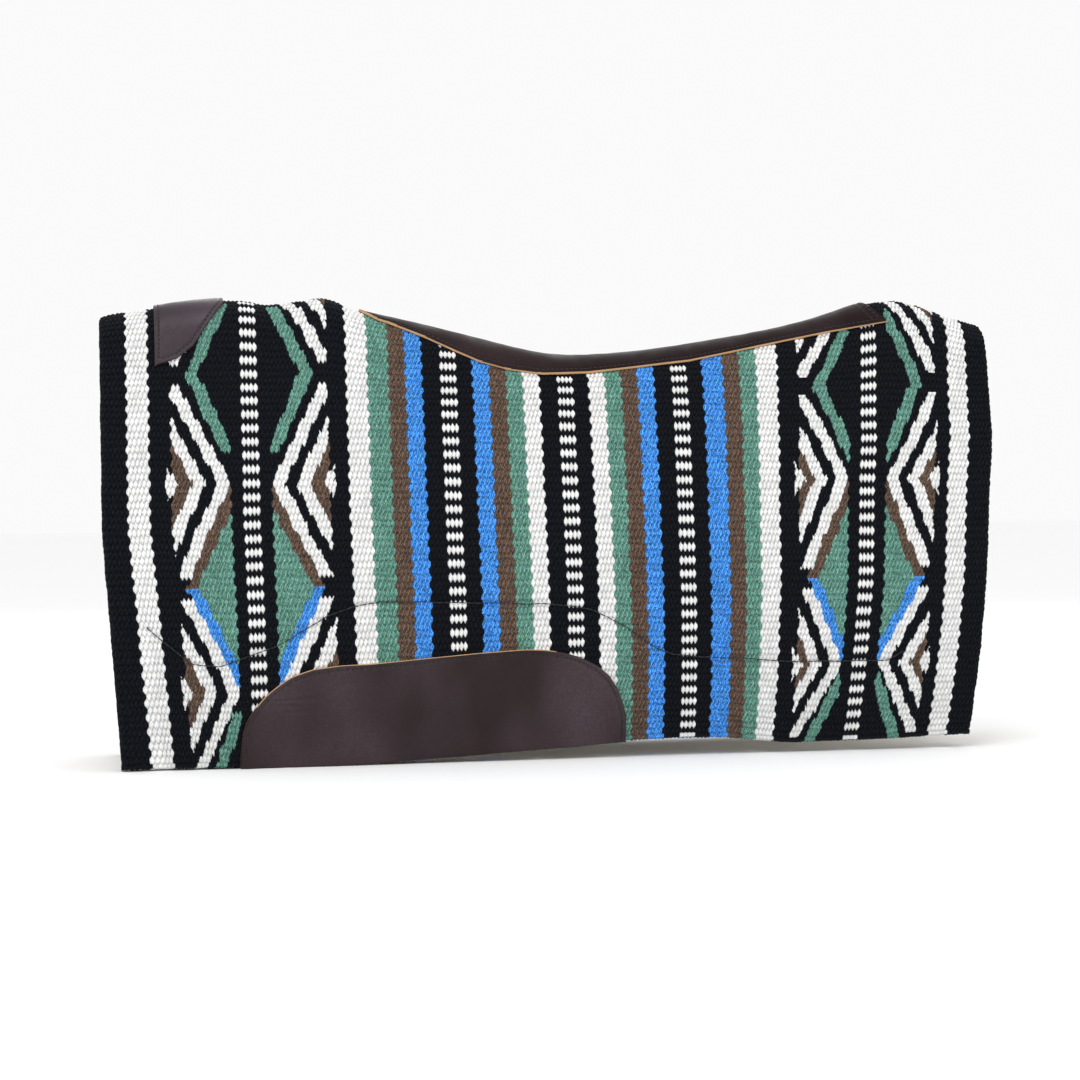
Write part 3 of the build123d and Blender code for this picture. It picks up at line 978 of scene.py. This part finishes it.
for label, side, _ in SIDES:
    row = inside(eased(spine_side[spine_side[:, 0] > -176], 400, 3), STITCH_IN)
    row = row[(row[:, 1] > 0) & (row[:, 0] < SPINE_X[-1] - 7)]
    obj = leather_stitches(f"stitching_spine_{label}", on_cloth(row), side)
    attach(obj, "spine")
    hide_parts("spine_stitching")
    for number, in_by in ((1, STITCH_IN), (2, STITCH_IN + 5.5)):
        slant = inside(eased(spine_end[:41], 60), in_by)
        slant = slant[(slant[:, 1] > 1) & (slant[:, 1] < spine_width(slant[:, 0]) - 4)]
        obj = leather_stitches(f"stitching_notch_{number}_{label}", on_cloth(slant), side)
        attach(obj, "spine")
        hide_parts("spine_stitching")
    front_x = np.full(50, WITHER_X[0] + STITCH_IN)
    front = np.stack([front_x, np.linspace(1, wither_width(front_x[0]) - STITCH_IN, 50)], -1)
    curve = inside(eased(wither_side, 200, 6), STITCH_IN)
    curve = curve[(curve[:, 1] > 1) & (curve[:, 0] > WITHER_X[0] + 5)]
    for part, line in (("front", front), ("rear", curve)):
        name = f"stitching_wither_{part}_{label}"
        obj = leather_stitches(name, on_cloth(line), side, length=3.0, gap=1.2, radius=0.45)
        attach(obj, "spine")
        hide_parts("wither_stitching")


# ---- wear leathers
# Each crease: its place along the pad and up the cloth, its half length and its slope.
CREASES = [
    (-262, 62, 26, 0.05), (-258, 57, 20, -0.04), (-250, 52, 15, 0.08), (12, 74, 9, 2.0), (20, 66, 8, 1.6),
]
PUCKERS, PUCKER_DEPTH = 62, 0.38


def creased(x, s):
    """Depth of the sharp creases of a wear leather, each with a raised lip."""
    total = 0.0
    for at_x, at_s, long, slope in CREASES:
        c, d = math.cos(math.atan(slope)), math.sin(math.atan(slope))
        along, across = (x - at_x) * c + (s - at_s) * d, -(x - at_x) * d + (s - at_s) * c
        fold = 0.35 * np.exp(-(((across - 2.6) / 1.8) ** 2)) - 0.6 * np.exp(-((across / 1.3) ** 2))
        total = total + fold * np.exp(-((along / long) ** 4))
    return total


def wear_pieces(label, side, flank):
    edge = np.array(WEAR_EDGE, float)
    rim = eased(np.stack([edge[:, 0], up_the_cloth(edge[:, 0], edge[:, 1])], -1), 380, 11)
    p = np.linspace(0, 1, len(rim))
    foot_x = rim[0, 0] + (rim[-1, 0] - rim[0, 0]) * (3 * p**2 - 2 * p**3)
    foot = np.stack([foot_x, np.full(len(rim), 0.3)], -1)
    q = np.sin(np.linspace(0, math.pi / 2, 96))
    place = foot[:, None] + (rim - foot)[:, None] * q[None, :, None]
    x, s = place[..., 0], place[..., 1]
    gap = to_line(place.reshape(-1, 2), rim[::3]).reshape(x.shape)
    wave = ripple(x * 0.6, s, 60, 41) + 0.16 * ripple(x, s, 14, 43)
    run = p[:, None]
    pucker = PUCKER_DEPTH * np.sin(run * 2 * math.pi * PUCKERS)
    pucker = pucker * np.exp(-(((gap - 5.5) / 3.0) ** 2)) * (0.35 + 0.65 * (run < 0.45))
    hem_round = -0.8 * np.exp(-s / 1.2)
    top = shell(x, s, leather_top(gap, wave + pucker + creased(x, s) + hem_round))[0]
    bottom = shell(x, s, LEATHER_BACK)[0]
    pale = (gap < CUT_EDGE) & (x > -289) & (x < -14)
    obj = grid_solid(f"leather_wear_{label}", top, bottom, side, rim=pale)
    dressed(obj, "leather", LEATHER, TAN_EDGE)
    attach(obj, flank)
    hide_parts(f"wear_leather_{label}")
    row = inside(rim, STITCH_IN)
    row = row[row[:, 1] > 3]
    obj = leather_stitches(f"stitching_wear_{label}", row, side, length=3.2, gap=1.2)
    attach(obj, flank)
    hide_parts(f"wear_stitching_{label}")


# ---- seams, panels and lining
LAYER_FOOT, LAYER_GAP = 6.0, 0.4


def core_depths(s):
    return 5.4, 14.2


def lining_depths(s):
    return depth_of_layers(s) - 7.9, depth_of_layers(s) - 0.6


def layer(name, side, s_high, depths, pile, step):
    """A closed layer inside the pad, up to s_high or the ridge; depths gives its outer and inner face."""
    limit = HALF_LENGTH - EDGE_ROLL - LAYER_GAP
    x0 = np.linspace(-limit, limit, int(2 * limit / step))
    v = np.linspace(0, 1, int(450 / step))
    x0, v = np.meshgrid(x0, v, indexing="ij")
    top_s = np.minimum(s_high, to_ridge(x0)) if s_high else to_ridge(x0)
    s = LAYER_FOOT + v * (top_s - LAYER_FOOT)
    x = laid(x0, s)
    lift = up_to_ridge(s, x0, x) - s
    edge = np.minimum(np.minimum(limit - np.abs(x0), s - LAYER_FOOT) / 6, 1)
    tuft = pile * (0.55 * ripple(x, s, 9, 61, 12) + 0.45 * ripple(x, s, 24, 63)) * (0.3 + 0.7 * edge)
    tuft = tuft - pile * 1.4 * (1 - edge) ** 2
    tuft = tuft * np.clip((to_ridge(x0) - s) / 4, 0, 1)
    outer, inner = depths(s)
    face = shell(x, s + lift, -outer)[0]
    back = shell(x, s + lift, -inner - tuft)[0]
    return grid_solid(name, face, back, side, edge_slot=0)


def seams(label, side, flank):
    x = np.linspace(QUILT_X[0], QUILT_X[-1], 900)
    path = np.stack([x, quilt_height(x) + 0.5 * ripple(x, x, 45, 71)], -1)
    obj = stitches(f"quilting_thread_{label}", path, -0.75, side, length=6.4, gap=0.6, dip=0.3)
    dressed(obj, "black_thread", BLACK_THREAD)
    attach(obj, flank)
    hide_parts(f"quilting_{label}")
    inset = HALF_LENGTH - 2.4
    rows = []
    for x0 in (-inset, inset):
        s = np.linspace(4, float(to_ridge(np.array(x0))) - 2, 300)
        rows.append(np.stack([laid(np.full(300, x0), s), s], -1))
    x0 = np.linspace(-inset + 3, inset - 3, 500)
    rows.append(np.stack([laid(x0, np.full(500, 2.6)), np.full(500, 2.6)], -1))
    for part, row in zip(("front", "rear", "lower"), rows):
        at = walk(row, 1.5, 5.0, 2.0)
        out = -depth_of_layers(at[..., 1]) - 0.25 + 0.5 * STITCH_ARCH
        centre, normal = shell(at[..., 0], at[..., 1], out)
        radius = 0.42 * (1 - STITCH_TAPER * STITCH_ARCH)
        obj = tubes(f"hem_thread_{part}_{label}", centre, normal, radius, side)
        dressed(obj, "black_thread", BLACK_THREAD)
        bend_with(obj)
        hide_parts(f"hem_stitching_{label}", "hem_stitching_spine")


for label, side, flank in SIDES:
    wear_pieces(label, side, flank)
    seams(label, side, flank)
    core = layer(f"felt_core_{label}", side, FOLD_S - 4, core_depths, pile=0.0, step=12.0)
    dressed(core, "felt", FELT)
    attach(core, flank)
    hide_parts(f"core_{label}")
    lining = layer(f"fleece_lining_{label}", side, None, lining_depths, pile=2.0, step=2.6)
    dressed(lining, "fleece", FLEECE)
    bend_with(lining)
    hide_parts(f"lining_{label}", "lining_spine")

dart_x = np.linspace(-158, 278, 400)
dart_at = walk(np.stack([dart_x, to_ridge(dart_x) - 0.8], -1), 1, 5.0, 2.0)
dart_points, dart_normals = shell(dart_at[..., 0], dart_at[..., 1], -5.7)
dart = tubes("dart_stitching", dart_points, dart_normals, np.full(STITCH_PLACES, 0.4), -1)
dressed(dart, "black_thread", BLACK_THREAD)
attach(dart, "spine")
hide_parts("dart_seam")


# ---- camera, floor and light
CAMERA_AT, CAMERA_AIM = (-0.4224, -2.3016, 0.2466), (-0.0126, 0.0, 0.2018)
VIEW_ANGLE, CAMERA_ROLL = math.radians(24.9), math.radians(-0.6)


def aimed(obj, target):
    direction = type(obj.location)(target) - obj.location
    obj.rotation_euler = direction.to_track_quat("-Z", "Y").to_euler()


lens = bpy.data.cameras.new("camera")
lens.sensor_width = 36.0
lens.lens = lens.sensor_width / 2 / math.tan(VIEW_ANGLE / 2)
camera = bpy.data.objects.new("camera", lens)
camera.location = CAMERA_AT
aimed(camera, CAMERA_AIM)
camera.rotation_euler.rotate_axis("Z", CAMERA_ROLL)
bpy.context.scene.collection.objects.link(camera)
bpy.context.scene.camera = camera

bpy.ops.mesh.primitive_plane_add(size=30, location=(0, 0, 0))
floor = bpy.context.active_object
floor.name = "floor"
paint = Look("floor_paint", 0.9, specular=0.1)
floor.data.materials.append(paint.finish(linear(252, 252, 252)))

world = bpy.data.worlds.new("studio")
bpy.context.scene.world = world
world.use_nodes = True
backdrop = world.node_tree.nodes["Background"]
backdrop.inputs["Color"].default_value = (1, 1, 1, 1)
backdrop.inputs["Strength"].default_value = 0.96


def soft_light(name, place, target, size, power):
    light = bpy.data.lights.new(name, "AREA")
    light.shape, light.size, light.energy = "SQUARE", size, power
    obj = bpy.data.objects.new(name, light)
    obj.location = place
    aimed(obj, target)
    bpy.context.scene.collection.objects.link(obj)


soft_light("key", (-0.9, -1.6, 2.3), (0, 0, 0.25), 1.6, 26)
soft_light("fill", (1.8, -1.8, 0.9), (0, 0, 0.2), 2.0, 7)
soft_light("back", (0.4, 2.2, 1.6), (0, 0, 0.3), 1.8, 10)
bpy.context.scene.view_settings.view_transform = "Standard"
